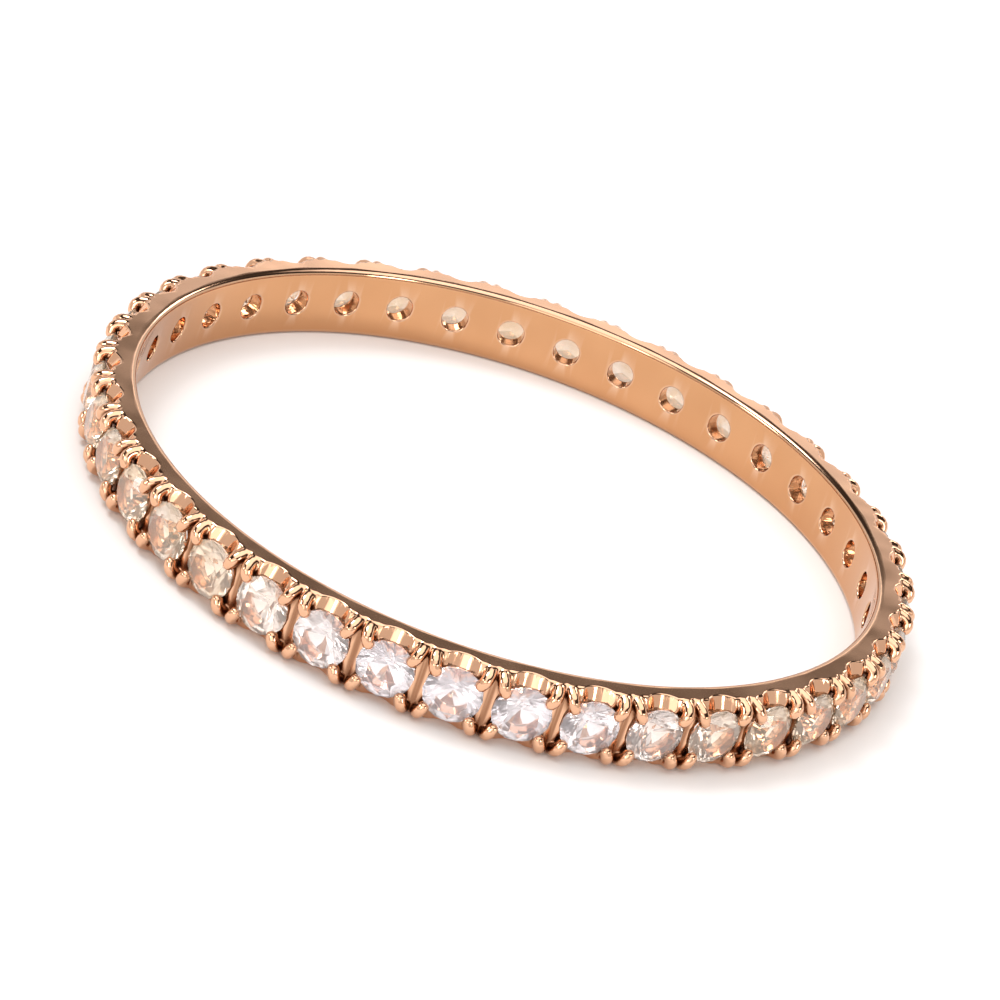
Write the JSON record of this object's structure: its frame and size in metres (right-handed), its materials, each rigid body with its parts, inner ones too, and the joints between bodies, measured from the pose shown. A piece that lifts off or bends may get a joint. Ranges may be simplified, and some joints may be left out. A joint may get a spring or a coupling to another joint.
{
  "type": "stackable ring",
  "caption": "Slim polished rose-gold stacking ring, set all the way round with small pale round brilliant stones held by paired prongs.",
  "frame": {"origin": "centre of the finger hole, on the plane of the lower side face that the ring rests on", "axes": "+Z along the ring's axis, out of the upper side face; +X through the middle of the first stone"},
  "size_m": [0.0192, 0.0192, 0.0017],
  "materials": {
    "rose_gold": "14-carat rose gold, polished all over, with faint wear marks",
    "pale_gem": "clear pinkish-white quartz, brilliant cut and polished"
  },
  "bodies": {
    "root": {"band": "rose_gold", "stone_01": "pale_gem", "stone_02": "pale_gem", "stone_03": "pale_gem", "stone_04": "pale_gem", "stone_05": "pale_gem", "stone_06": "pale_gem", "stone_07": "pale_gem", "stone_08": "pale_gem", "stone_09": "pale_gem", "stone_10": "pale_gem", "stone_11": "pale_gem", "stone_12": "pale_gem", "stone_13": "pale_gem", "stone_14": "pale_gem", "stone_15": "pale_gem", "stone_16": "pale_gem", "stone_17": "pale_gem", "stone_18": "pale_gem", "stone_19": "pale_gem", "stone_20": "pale_gem", "stone_21": "pale_gem", "stone_22": "pale_gem", "stone_23": "pale_gem", "stone_24": "pale_gem", "stone_25": "pale_gem", "stone_26": "pale_gem", "stone_27": "pale_gem", "stone_28": "pale_gem", "stone_29": "pale_gem", "stone_30": "pale_gem", "stone_31": "pale_gem", "stone_32": "pale_gem", "stone_33": "pale_gem", "stone_34": "pale_gem", "stone_35": "pale_gem", "stone_36": "pale_gem", "stone_37": "pale_gem", "stone_38": "pale_gem", "stone_39": "pale_gem"}
  },
  "joints": []
}
